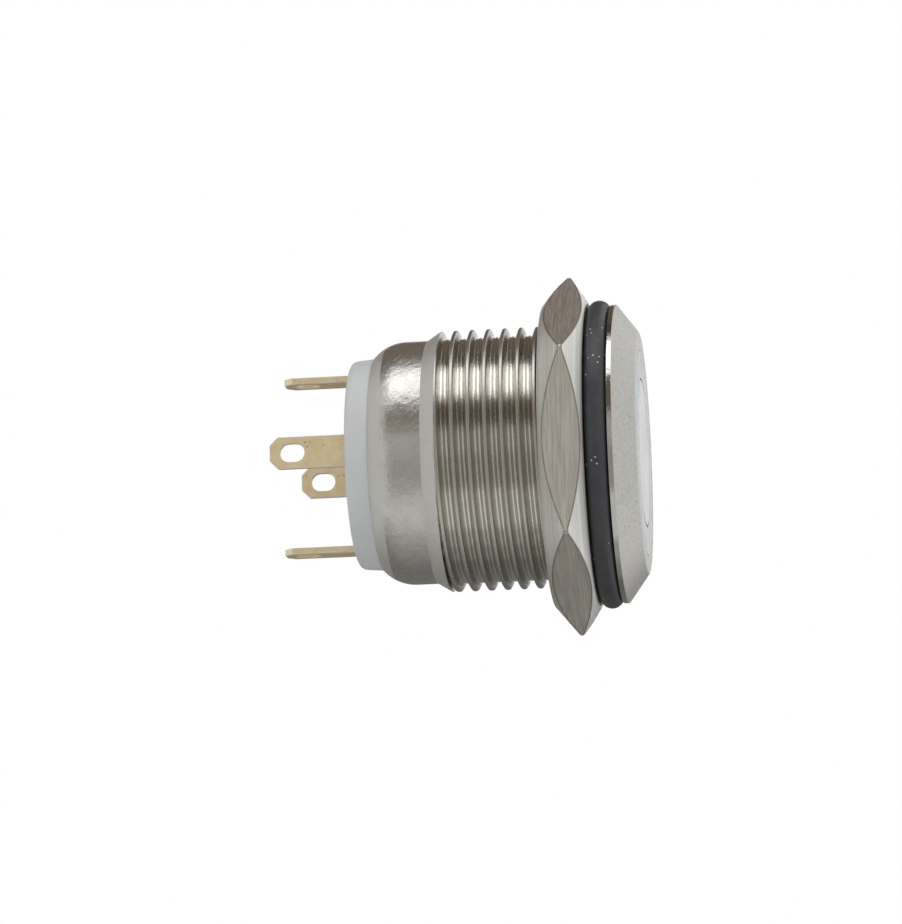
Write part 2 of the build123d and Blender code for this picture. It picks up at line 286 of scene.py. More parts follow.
curved_cards = [
    ("brown_card_behind", 118, 166, (0.165, 0.125, 0.09), 262, (-70, 220)),
    ("dark_card_behind", 101, 118, (0.09, 0.078, 0.065), 262, (-60, 220)),
    ("brown_card_above", 33, 62, (0.19, 0.155, 0.125), 262, (-190, 240)),
    ("grey_card_high", 8, 33, (0.58, 0.565, 0.54), 262, (-220, 240)),
    ("grey_card_level", -27, 8, (0.44, 0.425, 0.40), 262, (-220, 240)),
    ("pale_card_low", -66, -27, (0.80, 0.80, 0.78), 110, (-90, 150)),
    ("grey_card_low", -86, -66, (0.48, 0.48, 0.47), 110, (-70, 150)),
    ("grey_card_under", -106, -86, (0.32, 0.315, 0.30), 110, (-60, 150)),
    ("dark_card_under", -170, -106, (0.20, 0.195, 0.185), 110, (-70, 150)),
]
for values in curved_cards:
    curved_card(*values)
end_corners = ((-200, -115), (262, -115), (262, 262), (-200, 262))
end_cards = [("pale_card_front", -235, (0.84, 0.85, 0.85)), ("pale_card_rear", 255, (0.76, 0.755, 0.74))]
for name, y, level in end_cards:
    card(name, [(x * MM, y * MM, z * MM) for x, z in end_corners], [(0, 1, 2, 3)], level)
print("cards:", len(curved_cards) + len(end_cards))

# %% [markdown]
# ## Finishes
# What many finishes share is made once as a shader node group: the rings that a lathe tool leaves,
# slow mottling, small specks and thin scratches. Each group reads Object coordinates, so a pattern
# stays on its piece, and gives out only a value; the Principled shader stays in each material.

# %% What the groups share
def object_place(nodes):
    """Object coordinates as one vector, and as x, y and z."""
    where = nodes.add("ShaderNodeTexCoord").outputs["Object"]
    return (where, *nodes.add("ShaderNodeSeparateXYZ", Vector=where).outputs)


def axis_distance(nodes, x, z):
    """The distance from the Y axis."""
    return nodes.math("SQRT", nodes.math("ADD", nodes.math("MULTIPLY", x, x), nodes.math("MULTIPLY", z, z)))


def noise(nodes, vector, scale, detail=2.0, roughness=0.5):
    """A Noise Texture; gives its value."""
    return nodes.get("ShaderNodeTexNoise", Vector=vector, Scale=scale, Detail=detail, Roughness=roughness)


def spread(nodes, value, low, high, **ends):
    """Spreads the values between low and high over the range from 0 to 1, or over its own ends."""
    return nodes.get("ShaderNodeMapRange", Value=value, From_Min=low, From_Max=high, **ends)


# %% Group: lathe rings
rings = Group("lathe_rings", "Shader", {"Rings per mm": 12.0, "Waviness": 0.3}, "Height")
where, x, y, z = object_place(rings)
drift = rings.math("MULTIPLY", noise(rings, where, 900.0), rings["Waviness"])
along = rings.math("MULTIPLY_ADD", drift, 0.2 * MM, y)
flat = rings.xyz(x=axis_distance(rings, x, z), y=along)
per_metre = rings.math("DIVIDE", rings["Rings per mm"], MM)
rings.give(spread(rings, noise(rings, flat, per_metre, 3.0, 0.65), 0.32, 0.68))

# %% Group: mottling
mottle = Group("mottling", "Shader", {"Patches per mm": 0.6}, "Value")
per_metre = mottle.math("DIVIDE", mottle["Patches per mm"], MM)
mottle.give(spread(mottle, noise(mottle, object_place(mottle)[0], per_metre, 4.0, 0.6), 0.3, 0.7))

# %% Group: specks
specks = Group("specks", "Shader", {"Specks per mm": 3.0, "Size": 0.12, "Share": 0.1}, "Mask")
per_metre = specks.math("DIVIDE", specks["Specks per mm"], MM)
cells = specks.add("ShaderNodeTexVoronoi", Vector=object_place(specks)[0], Scale=per_metre).outputs
near = specks.math("LESS_THAN", cells["Distance"], specks["Size"])
draw = specks.get("ShaderNodeSeparateColor", Color=cells["Color"])
specks.give(specks.math("MULTIPLY", near, specks.math("LESS_THAN", draw, specks["Share"])))

# %% Group: scratches
scratch = Group("scratches", "Shader", {"Angle": 0.6, "Share": 0.3}, "Mask")
tilted = scratch.get("ShaderNodeVectorRotate", {"rotation_type": "X_AXIS"},
                     Vector=object_place(scratch)[0], Angle=scratch["Angle"])
stretched = scratch.get("ShaderNodeVectorMath", {"operation": "MULTIPLY"}, i0=tilted, i1=(600, 650, 14000))
limit = scratch.math("SUBTRACT", 0.72, scratch.math("MULTIPLY", scratch["Share"], 0.2))
scratch.give(spread(scratch, noise(scratch, stretched, 1.0), limit, scratch.math("ADD", limit, 0.04)))

# %% Group: reach, a mask by distance from the axis
reach = Group("reach", "Shader", {"From mm": 7.9, "To mm": 7.98}, "Mask")
where, x, y, z = object_place(reach)
radius_mm = reach.math("DIVIDE", axis_distance(reach, x, z), MM)
reach.give(spread(reach, radius_mm, reach["From mm"], reach["To mm"]))

# %% Group: drawn lines across the bar
drawn = Group("drawn_lines", "Shader", {"Lines per mm": 8.0, "Length mm": 3.0}, "Height")
where, x, y, z = object_place(drawn)
slow = drawn.math("DIVIDE", 1 / MM, drawn["Length mm"])
fast = drawn.math("DIVIDE", drawn["Lines per mm"], MM)
stretched = drawn.xyz(drawn.math("MULTIPLY", x, slow), drawn.math("MULTIPLY", y, fast),
                      drawn.math("MULTIPLY", z, slow))
drawn.give(spread(drawn, noise(drawn, stretched, 1.0, 3.0, 0.6), 0.32, 0.68))


# %% A finish, with its colours, its roughness and its bumps
class Look(Nodes):
    """The nodes of one finish, which all end in its Principled shader."""

    def __init__(self, tree):
        super().__init__(tree)
        self.shader = tree.nodes["Principled BSDF"].inputs
        self.relief = {}

    def use(self, group, **values):
        """Places a shared group with its own values; gives its output."""
        return self.get("ShaderNodeGroup", {"node_tree": group.tree}, **values)

    def blend(self, colour_a, colour_b, factor):
        """Mixes two colours, each a socket or red, green and blue; inputs 6 and 7 are the colours."""
        a, b = [(*c, 1) if isinstance(c, tuple) else c for c in (colour_a, colour_b)]
        return self.add("ShaderNodeMix", {"data_type": "RGBA"}, i0=factor, i6=a, i7=b).outputs[2]

    def tint(self, colour_a, colour_b, factor):
        """Sends a blend to Base Color."""
        self.tree.links.new(self.blend(colour_a, colour_b, factor), self.shader["Base Color"])

    def roughen(self, value, low, high):
        """Sends a 0 to 1 value to Roughness, between low and high."""
        self.tree.links.new(spread(self, value, 0.0, 1.0, To_Min=low, To_Max=high), self.shader["Roughness"])

    def bump(self, height, depth_mm, strength):
        """A bump that lies on the bumps made before it."""
        raised = self.get("ShaderNodeBump", Height=height, Distance=depth_mm * MM, Strength=strength,
                          **self.relief)
        self.tree.links.new(raised, self.shader["Normal"])
        self.relief = {"Normal": raised}


def finish(name, metallic, roughness=0.5, **plain):
    """A new material whose plain sockets are set; gives it and its look."""
    material = bpy.data.materials.new(name)
    material.use_nodes = True
    look = Look(material.node_tree)
    for socket, value in {"Metallic": metallic, "Roughness": roughness, **plain}.items():
        look.shader[socket.replace("_", " ")].default_value = value
    print("finish", name)
    return material, look


def mottled_finish(name, metallic, roughness, light, dark, patches_per_mm, grain_per_mm, depth_mm, strength):
    """A finish of two near colours in patches, with a fine grain; gives the material."""
    material, look = finish(name, metallic, roughness)
    look.tint(light, dark, look.use(mottle, Patches_per_mm=patches_per_mm))
    look.bump(look.use(mottle, Patches_per_mm=grain_per_mm), depth_mm, strength)
    return material


# %% [markdown]
# ### Nickel
# The housing and the nut are brass under nickel. The collar is satin and a little uneven, with fine
# scratches; the rim of the flange and the thread's root are polished; the rolled edge, the cone of the
# head and the cones of the nut are dull; the nut's flats keep the lines of the drawn bar. They are one
# metal, and differ in how dark and how rough the handling left them. Two colours on the nut are painted
# light instead: its front cone is painted brighter than its other cones, and the rounded edges of its
# leaves carry a painted dark reflection.

# %% Satin and polished nickel
satin_nickel, look = finish("satin_nickel", 0.90)
patches = look.use(mottle, Patches_per_mm=0.9)
fine = look.use(mottle, Patches_per_mm=11.0)
marks = look.use(scratch, Angle=0.7, Share=0.30)
base = look.blend((0.54, 0.53, 0.505), (0.46, 0.445, 0.415), patches)
look.tint(base, (0.62, 0.61, 0.58), look.math("MULTIPLY", fine, 0.5))
look.roughen(look.math("MAXIMUM", look.math("MULTIPLY", patches, 0.7), marks), 0.22, 0.34)
look.bump(fine, 0.008, 0.4)
look.bump(look.use(mottle, Patches_per_mm=2.6), 0.026, 0.4)
look.bump(patches, 0.05, 0.3)
look.bump(marks, 0.005, 0.6)

polished_nickel, look = finish("polished_nickel", 1.0)
patches = look.use(mottle, Patches_per_mm=1.2)
look.roughen(patches, 0.05, 0.13)
look.tint((0.52, 0.51, 0.485), (0.46, 0.445, 0.415), patches)
look.bump(look.use(rings, Rings_per_mm=7.0, Waviness=1.0), 0.003, 0.4)
look.bump(look.use(mottle, Patches_per_mm=3.0), 0.014, 0.5)

# %% Thread nickel: a polished root, duller flanks and a worn crest
thread_nickel, look = finish("thread_nickel", 1.0)
above_root = look.use(reach, From_mm=7.52, To_mm=7.60)
crest = look.use(reach, From_mm=7.93, To_mm=7.985)
patches = look.use(mottle, Patches_per_mm=1.5)
base = look.blend((0.62, 0.605, 0.565), (0.60, 0.58, 0.535), patches)
flanks = look.blend(base, (0.46, 0.44, 0.40), above_root)
look.tint(flanks, (0.46, 0.45, 0.42), crest)
dull = look.math("MULTIPLY_ADD", above_root, 0.55, look.math("MULTIPLY", patches, 0.2))
look.roughen(look.math("MULTIPLY_ADD", crest, 0.15, dull), 0.06, 0.40)
look.bump(look.use(rings, Rings_per_mm=22.0, Waviness=1.2), 0.0035, 0.5)
look.bump(look.use(mottle, Patches_per_mm=5.0), 0.008, 0.3)

# %% Rolled nickel, pressed dull by the tool that closed the edge
rolled_nickel, look = finish("rolled_nickel", 0.85)
fine = look.use(mottle, Patches_per_mm=9.0)
patches = look.use(mottle, Patches_per_mm=1.6)
marks = look.use(scratch, Angle=0.7, Share=0.30)
look.tint(look.blend((0.62, 0.615, 0.59), (0.52, 0.51, 0.485), fine), (0.58, 0.57, 0.54), patches)
look.roughen(look.math("MAXIMUM", patches, marks), 0.44, 0.56)
look.bump(fine, 0.012, 0.5)
look.bump(marks, 0.005, 0.5)

# %% Dull nickel for the cone of the head
dull_nickel, look = finish("dull_nickel", 0.85)
fine = look.use(mottle, Patches_per_mm=6.0)
pits = look.use(specks, Specks_per_mm=2.4, Size=0.16, Share=0.25)
look.tint(look.blend((0.615, 0.605, 0.575), (0.51, 0.50, 0.47), fine), (0.42, 0.40, 0.37), pits)
look.roughen(fine, 0.38, 0.54)
look.bump(look.use(rings, Rings_per_mm=11.0, Waviness=0.3), 0.004, 0.6)
look.bump(fine, 0.012, 0.5)

# %% Nut: turned cones, a front cone painted brighter, leaf edges painted dark, and drawn flats
nut_nickel, look = finish("nut_nickel", 0.90)
grain = look.use(rings, Rings_per_mm=10.0, Waviness=0.15)
pits = look.use(specks, Specks_per_mm=1.8, Size=0.14, Share=0.15)
look.tint(look.blend((0.68, 0.67, 0.635), (0.46, 0.445, 0.415), grain), (0.80, 0.79, 0.77), pits)
look.roughen(grain, 0.32, 0.48)
look.bump(grain, 0.006, 0.9)
look.bump(look.use(mottle, Patches_per_mm=5.0), 0.012, 0.4)

# Painted light: the front cone is the same turned nickel as the other cones, but its colour is painted much
# brighter to stand in for the light it catches.
front_cone_painted_light, look = finish("front_cone_painted_light", 0.80, 0.42)
grain = look.use(rings, Rings_per_mm=10.0, Waviness=0.15)
pits = look.use(specks, Specks_per_mm=1.8, Size=0.14, Share=0.15)
look.tint(look.blend((0.94, 0.93, 0.90), (0.70, 0.685, 0.65), grain), (0.90, 0.89, 0.87), pits)
look.bump(grain, 0.006, 0.8)

# Painted reflection: the rounded leaf edges get a dark colour that stands in for the dark line they mirror,
# not a colour of the metal.
leaf_edge_painted_reflection = mottled_finish("leaf_edge_painted_reflection", 0.9, 0.42, (0.24, 0.225, 0.20), (0.36, 0.34, 0.31),
                                  3.0, 8.0, 0.004, 0.5)

nut_flat_nickel, look = finish("nut_flat_nickel", 0.96)
lines = look.use(drawn, Lines_per_mm=7.0, Length_mm=2.5)
coarse = look.use(drawn, Lines_per_mm=2.2, Length_mm=4.0)
fine = look.use(mottle, Patches_per_mm=6.0)
base = look.blend((0.76, 0.725, 0.665), (0.50, 0.47, 0.425), lines)
look.tint(base, (0.54, 0.515, 0.47), look.math("MULTIPLY", coarse, 0.6))
look.roughen(fine, 0.30, 0.46)
look.bump(lines, 0.012, 1.0)
look.bump(coarse, 0.030, 0.8)
look.bump(fine, 0.010, 0.5)

# %% [markdown]
# ### Rubber, mouldings and gold
# The O-ring is dusty black rubber with a soft sheen. The rear end is a white moulding that lets a
# little light in. The terminals are brass with a thin gold plate, matt and spotted by handling.

# %% Rubber
ring_rubber, look = finish("ring_rubber", 0.0, Specular_IOR_Level=0.45)
cloud = look.use(mottle, Patches_per_mm=0.8)
dust = look.use(specks, Specks_per_mm=3.4, Size=0.20, Share=0.30)
settled = look.math("GREATER_THAN", look.use(mottle, Patches_per_mm=0.5), 0.62)
base = look.blend((0.032, 0.032, 0.037), (0.049, 0.049, 0.056), cloud)
look.tint(base, (0.50, 0.50, 0.50), look.math("MULTIPLY", dust, settled))
look.roughen(cloud, 0.36, 0.52)
look.bump(look.use(mottle, Patches_per_mm=12.0), 0.006, 0.5)

small_rubber = mottled_finish("small_seal_rubber", 0.0, 0.5, (0.035, 0.035, 0.038), (0.06, 0.06, 0.06),
                              2.0, 10.0, 0.005, 0.4)

# %% Moulded plastics
base_white, look = finish("base_white", 0.0, Subsurface_Weight=0.15, Subsurface_Scale=0.8 * MM)
cloud = look.use(mottle, Patches_per_mm=0.35)
look.tint((0.68, 0.695, 0.69), (0.62, 0.63, 0.62), cloud)
look.roughen(cloud, 0.40, 0.52)
look.bump(look.use(mottle, Patches_per_mm=9.0), 0.005, 0.5)

light_ring_plastic, look = finish("light_ring_plastic", 0.0, Subsurface_Weight=0.3, Subsurface_Scale=1.5 * MM)
haze = look.use(mottle, Patches_per_mm=0.6)
look.tint((0.60, 0.63, 0.655), (0.55, 0.58, 0.60), haze)
look.roughen(haze, 0.22, 0.36)
look.bump(look.use(rings, Rings_per_mm=6.0, Waviness=0.2), 0.002, 0.4)

plunger_white = mottled_finish("plunger_white", 0.0, 0.5, (0.76, 0.76, 0.74), (0.70, 0.70, 0.69),
                               0.8, 8.0, 0.005, 0.4)
carrier_black = mottled_finish("carrier_black", 0.0, 0.5, (0.04, 0.04, 0.044), (0.065, 0.065, 0.07),
                               0.9, 8.0, 0.006, 0.5)

# %% Gold, springs and contacts
gold_plate, look = finish("gold_plate", 0.7)
cloud = look.use(mottle, Patches_per_mm=1.6)
spots = look.use(specks, Specks_per_mm=2.6, Size=0.14, Share=0.30)
look.tint(look.blend((0.93, 0.79, 0.53), (0.80, 0.64, 0.38), cloud), (0.40, 0.30, 0.16), spots)
look.roughen(cloud, 0.30, 0.50)
look.bump(look.use(mottle, Patches_per_mm=7.0), 0.010, 0.6)

spring_steel = mottled_finish("spring_steel", 1.0, 0.3, (0.52, 0.52, 0.53), (0.42, 0.41, 0.40),
                              2.0, 10.0, 0.004, 0.4)

contact_copper, look = finish("contact_copper", 1.0, 0.32)
look.tint((0.74, 0.47, 0.29), (0.60, 0.35, 0.20), look.use(mottle, Patches_per_mm=1.5))
look.bump(look.use(scratch, Angle=0.1, Share=0.5), 0.003, 0.4)

contact_silver, look = finish("contact_silver", 1.0, 0.24)
look.tint((0.84, 0.84, 0.82), (0.70, 0.69, 0.67), look.use(mottle, Patches_per_mm=3.0))
look.bump(look.use(rings, Rings_per_mm=8.0, Waviness=0.2), 0.003, 0.4)

# %% Cap metal, board and diodes
cap_steel, look = finish("cap_steel", 1.0)
grain = look.use(rings, Rings_per_mm=14.0, Waviness=0.1)
look.tint((0.55, 0.56, 0.57), (0.48, 0.49, 0.50), grain)
look.roughen(look.use(mottle, Patches_per_mm=0.5), 0.24, 0.36)
look.bump(grain, 0.002, 0.7)

board_mask = mottled_finish("board_mask", 0.0, 0.35, (0.76, 0.78, 0.74), (0.68, 0.70, 0.66),
                            1.0, 6.0, 0.003, 0.4)
diode_resin = mottled_finish("diode_resin", 0.0, 0.2, (0.82, 0.76, 0.44), (0.74, 0.66, 0.34),
                             2.0, 6.0, 0.002, 0.3)
resistor_black = mottled_finish("resistor_black", 0.0, 0.4, (0.03, 0.03, 0.032), (0.05, 0.05, 0.052),
                                3.0, 10.0, 0.003, 0.4)
print(len(bpy.data.materials), "materials so far")

# %% Finishes for the solid model's own pieces
node_finish = {
    "housing": satin_nickel,
    "hex_nut": nut_nickel,
    "panel_gasket": ring_rubber,
    "insulator_base": base_white,
    "halo_light_ring": light_ring_plastic,
    "actuator_cap": cap_steel,
    "stem_seal_ring": small_rubber,
    "plunger": plunger_white,
    "contact_carrier": carrier_black,
    "return_spring": spring_steel,
    "contact_spring": spring_steel,
    "bridge_clip": spring_steel,
    "moving_contact_bridge": contact_copper,
    "led_board": board_mask,
    "led_resistor": resistor_black,
}
for name in frame["nodes"]:
    if name.startswith("terminal_"):
        node_finish[name] = gold_plate
    elif name.startswith(("moving_contact_", "fixed_contact_")) and name != "moving_contact_bridge":
        node_finish[name] = contact_silver
    elif name.startswith("led_") and name[4:].isdigit():
        node_finish[name] = diode_resin
for name, material in node_finish.items():
    slots = frame["nodes"][name].data.materials
    slots.clear()
    slots.append(material)
print(len(node_finish), "of", len(frame["nodes"]), "nodes have a finish")

# %% [markdown]
# ## Turned pieces
# Everything round on this button came off a lathe or out of a round mould, so a profile of
# (radius, y) points is spun about the Y axis. No real corner is perfectly sharp: each corner of a
# profile is rounded by a few hundredths of a millimetre, and that is what catches the light.

# %% Helpers: soften, spin and settle
corner_points = 7


def soften(corners, size, closed=True):
    """Rounds each corner to corner_points points; a corner may carry its own size as a third value."""
    result = []
    for i, corner in enumerate(corners):
        here = Vector(corner[:2])
        own = corner[2] if len(corner) > 2 else size
        if own == 0 or (not closed and i in (0, len(corners) - 1)):
            result.append(here)
            continue
        before = Vector(corners[i - 1][:2]) - here
        after = Vector(corners[(i + 1) % len(corners)][:2]) - here
        cut = min(own, 0.4 * before.length, 0.4 * after.length)
        start, end = here + before.normalized() * cut, here + after.normalized() * cut
        result.append(here + before.normalized() * cut * 1.2)
        for t in (0, 0.25, 0.5, 0.75, 1):
            result.append((1 - t) ** 2 * start + 2 * t * (1 - t) * here + t * t * end)
        result.append(here + after.normalized() * cut * 1.2)
    return result


def spin(name, profile, *materials, segments=160, closed=True):
    """Spins a profile about the Y axis: a loop gives a ring, an open one starts and ends on the axis."""
    points, faces, circles = [], [], []
    for r, y in profile:
        count = segments if r > 1e-6 else 1
        circles.append([len(points) + k for k in range(count)])
        for k in range(count):
            angle = 2 * pi * k / segments
            points.append((r * sin(angle) * MM, y * MM, r * cos(angle) * MM))
    pairs = list(zip(circles, circles[1:]))
    if closed:
        pairs.append((circles[-1], circles[0]))
    for low, high in pairs:
        for k in range(segments):
            n = (k + 1) % segments
            loop = (low[k % len(low)], low[n % len(low)], high[n % len(high)], high[k % len(high)])
            faces.append(tuple(dict.fromkeys(loop)))
    return built(name, points, faces, *materials)


def settle(piece, body, slot_name, *nodes, angle_deg=32):
    """Merges doubles, turns faces outwards, shades, and hands the piece to its body."""
    mesh = piece.data
    bm = bmesh.new()
    bm.from_mesh(mesh)
    bmesh.ops.remove_doubles(bm, verts=bm.verts, dist=1e-7)
    bmesh.ops.recalc_face_normals(bm, faces=bm.faces)
    open_edges = sum(1 for edge in bm.edges if len(edge.link_faces) != 2)
    bm.to_mesh(mesh)
    bm.free()
    mesh.shade_smooth()
    mesh.set_sharp_from_angle(angle=radians(angle_deg))
    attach(piece, body)
    if nodes:
        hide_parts(*nodes)
    print(piece.name, len(mesh.polygons), "faces,", open_edges, "open edges")


# %% [markdown]
# ### The housing
# One turned piece: the dull cone of the head, the polished rim of the flange, the neck, the barrel that
# carries the thread, the satin collar and the thin edge that is rolled over the white moulding. One
# profile gives the whole form, and the finish changes along it, as the real piece was turned,
# polished and handled differently along its length.

# %% Housing
front_y, rim_y, step_y = -1.62, -0.33, -0.42
window_r, face_r, flange_r = 6.28, 7.38, 9.12
neck_r, barrel_r, bore_r, skirt_r = 7.34, 7.45, 6.53, 6.99
neck_end_y, thread_end_y, shelf_y, roll_y, dull_from_y = 0.9, 11.27, 10.95, 12.63, 13.85
roll_radius, skirt_wall, lip_r = 2.6, 0.45, 6.54
roll_center_r = barrel_r - roll_radius


def roll(radius, first, last, steps=16):
    """Points on the rolled edge's arc; the angles are counted from the barrel."""
    arc = []
    for i in range(steps + 1):
        angle = first + (last - first) * i / steps
        arc.append((roll_center_r + radius * cos(angle), roll_y + radius * sin(angle), 0))
    return arc


outer_end = acos((lip_r - roll_center_r) / roll_radius)
inner_end = acos((lip_r - roll_center_r) / (roll_radius - skirt_wall))
outer_arc = roll(roll_radius, 0, outer_end - 0.02)
inner_arc = roll(roll_radius - skirt_wall, inner_end, 0)
lip_y = roll_y + roll_radius * sin(outer_end)
profile = [
    (window_r, front_y, 0.04), (face_r, front_y, 0.10), (flange_r, rim_y, 0.05), (flange_r, 0, 0.06),
    (neck_r, 0, 0.02), (neck_r, neck_end_y, 0.02), (barrel_r, neck_end_y + 0.11, 0.02),
    (barrel_r, thread_end_y, 0), *outer_arc, (lip_r + 0.01, lip_y - 0.01, 0), (lip_r, lip_y - 0.05, 0),
    *inner_arc, (skirt_r, shelf_y, 0.02), (bore_r, shelf_y, 0.02), (bore_r, step_y, 0.02),
    (window_r, step_y, 0.02),
]
housing = spin("housing_turned", soften(profile, 0.03), satin_nickel, thread_nickel, dull_nickel,
               polished_nickel, rolled_nickel, segments=192)
thread_index, dull_index, polished_index, rolled_index = 1, 2, 3, 4
for face in housing.data.polygons:
    x, y, z = face.center / MM
    r = sqrt(x * x + z * z)
    if y < rim_y + 0.02 and r > window_r - 0.01:
        face.material_index = dull_index
    elif y < 0.1 and r > bore_r + 0.3:
        face.material_index = polished_index
    elif y < thread_end_y - 0.1 and r > bore_r + 0.3:
        face.material_index = thread_index
    elif y > dull_from_y:
        face.material_index = rolled_index
print("housing turned:", len(housing.data.polygons), "faces")

# %% [markdown]
# ### The thread
# A thread is one long bar, as wide as the pitch, rolled round the barrel so that each turn meets the last.
# That is also how it is made here: Geometry Nodes draw the section (a narrow crest, two flanks and a
# wide root with two shallow hollows) as a closed curve, sweep it along a straight line, and Set
# Position wraps the bar, so that its length becomes the angle and its height the radius. Two limits
# along the axis cut the bar off at the nut's faces. A limit on the radius cuts the cone at the thread's
# end, and from there on the groove is filled. The nut uses the same tree from the inside.

# %% The section of the thread, as a bar along X
thread_end_cone, thread_crest_r, thread_root_r = 0.85, 8.0, 7.47
thread = Group("rolled_thread", "Geometry", {
    "Pitch": 1.0 * MM, "Turns": 10.6, "Steps per Turn": 80, "First Ridge": 1.55 * MM, "Start Turn": 0.0,
    "Seat Radius": 7.36 * MM, "Root Radius": thread_root_r * MM, "Crest Radius": thread_crest_r * MM,
    "Cone End": thread_end_y * MM, "Cone Length": thread_end_cone * MM,
    "Low Face": (neck_end_y + 0.15) * MM, "High Face": 1.0,
})
calc = thread.math
section_points = 46
index = thread.get("GeometryNodeInputIndex")
share = thread.get("ShaderNodeClamp", Value=calc("DIVIDE", index, section_points - 3))
is_seat = calc("GREATER_THAN", index, section_points - 2.5)
is_last = calc("GREATER_THAN", index, section_points - 1.5)
across = calc("MULTIPLY", calc("SUBTRACT", share, 0.5), calc("MULTIPLY_ADD", is_last, -2.0, 1.0))
form = thread.add("ShaderNodeFloatCurve", Value=calc("MULTIPLY", calc("ABSOLUTE", across), 2.0))
shape = form.mapping.curves[0]
shape.points[0].location = (0.0, 1.0)
shape.points[1].location = (1.0, 0.09)
for at_x, at_y in ((0.13, 1.0), (0.18, 0.95), (0.58, 0.10), (0.64, 0.035), (0.78, 0.0), (0.92, 0.045)):
    shape.points.new(at_x, at_y)
for point in shape.points:
    point.handle_type = "AUTO_CLAMPED"
form.mapping.update()
crest_over_root = calc("SUBTRACT", thread["Crest Radius"], thread["Root Radius"])
side = calc("SIGN", crest_over_root)
depth = calc("ABSOLUTE", crest_over_root)
sunk = calc("ABSOLUTE", calc("SUBTRACT", thread["Root Radius"], thread["Seat Radius"]))
height = calc("MULTIPLY", calc("MULTIPLY_ADD", form.outputs[0], depth, sunk), calc("SUBTRACT", 1.0, is_seat))
section = thread.get("GeometryNodeCurvePrimitiveCircle", {"mode": "RADIUS"}, Resolution=section_points)
outline = thread.xyz(x=calc("MULTIPLY", across, thread["Pitch"]), y=height)
section = thread.get("GeometryNodeSetPosition", Geometry=section, Position=outline)
line = thread.get("GeometryNodeCurvePrimitiveLine", End=thread.xyz(x=thread["Turns"]))
steps = calc("MULTIPLY", thread["Turns"], thread["Steps per Turn"])
line = thread.get("GeometryNodeResampleCurve", Curve=line, Count=steps)
line = thread.get("GeometryNodeSetCurveNormal", {"mode": "Z_UP"}, Curve=line)
bar = thread.get("GeometryNodeCurveToMesh", Curve=line, Profile_Curve=section, Fill_Caps=True)
print("section of", section_points, "points")

# %% The bar wrapped round the barrel
x, y, z = thread.add("ShaderNodeSeparateXYZ", Vector=thread.get("GeometryNodeInputPosition")).outputs
bar_height = calc("ABSOLUTE", z)
turned_by = calc("ADD", x, thread["Start Turn"])
y_free = calc("ADD", calc("MULTIPLY_ADD", turned_by, thread["Pitch"], thread["First Ridge"]), y)
y_along = calc("MINIMUM", calc("MAXIMUM", y_free, thread["Low Face"]), thread["High Face"])
inside = calc("LESS_THAN", calc("ABSOLUTE", calc("SUBTRACT", y_free, y_along)), 0.005 * MM)
raised = calc("MULTIPLY", calc("MULTIPLY", bar_height, side), inside)
r_free = calc("ADD", thread["Seat Radius"], raised)
before_end = calc("DIVIDE", calc("SUBTRACT", thread["Cone End"], y_along), thread["Cone Length"])
r_cone = calc("MULTIPLY_ADD", before_end, depth, calc("SUBTRACT", thread["Crest Radius"], depth))
past_start = calc("SUBTRACT", y_along, calc("SUBTRACT", thread["Cone End"], thread["Cone Length"]))
fill_ramp, seat_height, lowest_r = 0.06 * MM, 0.02 * MM, 7.3 * MM
filled = thread.get("ShaderNodeClamp", Value=calc("MULTIPLY_ADD", past_start, 1 / fill_ramp, 1.0))
filled = calc("MULTIPLY", filled, calc("GREATER_THAN", bar_height, seat_height))
r_filled = calc("MULTIPLY_ADD", calc("SUBTRACT", thread["Crest Radius"], r_free), filled, r_free)
r_end = calc("MINIMUM", r_filled, calc("MAXIMUM", r_cone, lowest_r))
angle = calc("MULTIPLY", turned_by, 2 * pi)
wrapped = thread.xyz(calc("MULTIPLY", r_end, calc("SINE", angle)), y_along,
                     calc("MULTIPLY", r_end, calc("COSINE", angle)))
thread.give(thread.get("GeometryNodeSetPosition", Geometry=bar, Position=wrapped))


def grown(name, group, material, **values):
    """Runs a tree on an empty mesh with its own values and keeps the result as a plain mesh."""
    maker = placed(name + "_maker", bpy.data.meshes.new(name + "_maker"))
    modifier = maker.modifiers.new("tree", "NODES")
    modifier.node_group = group.tree
    for label, value in values.items():
        modifier[group.ids[label.replace("_", " ")]] = value
    modifier[group.ids["Material"]] = material
    bpy.context.view_layer.update()
    ready = maker.evaluated_get(bpy.context.evaluated_depsgraph_get())
    mesh = bpy.data.meshes.new_from_object(ready)
    mesh.name = name
    maker.modifiers.remove(modifier)
    bpy.data.objects.remove(maker)
    return placed(name, mesh)


# %% Housing thread
housing_thread = grown("housing_thread", thread, thread_nickel)
housing_thread.data.materials.append(rolled_nickel)
cone_start_y = thread_end_y - thread_end_cone
for face in housing_thread.data.polygons:
    x, y, z = face.center / MM
    cone_r = thread_crest_r - (y - cone_start_y) * (thread_crest_r - thread_root_r) / thread_end_cone
    if y > cone_start_y - 0.01 and sqrt(x * x + z * z) > cone_r - 0.02:
        face.material_index = len(housing_thread.data.materials) - 1
places = [v.co / MM for v in housing_thread.data.vertices]
low, high = [[round(end(v[i] for v in places), 3) for i in range(3)] for end in (min, max)]
print("thread from", low, "to", high, "mm,", len(housing_thread.data.polygons), "faces")

# %% [markdown]
# The thread and the turned form are one piece of metal, so they are joined into one mesh.

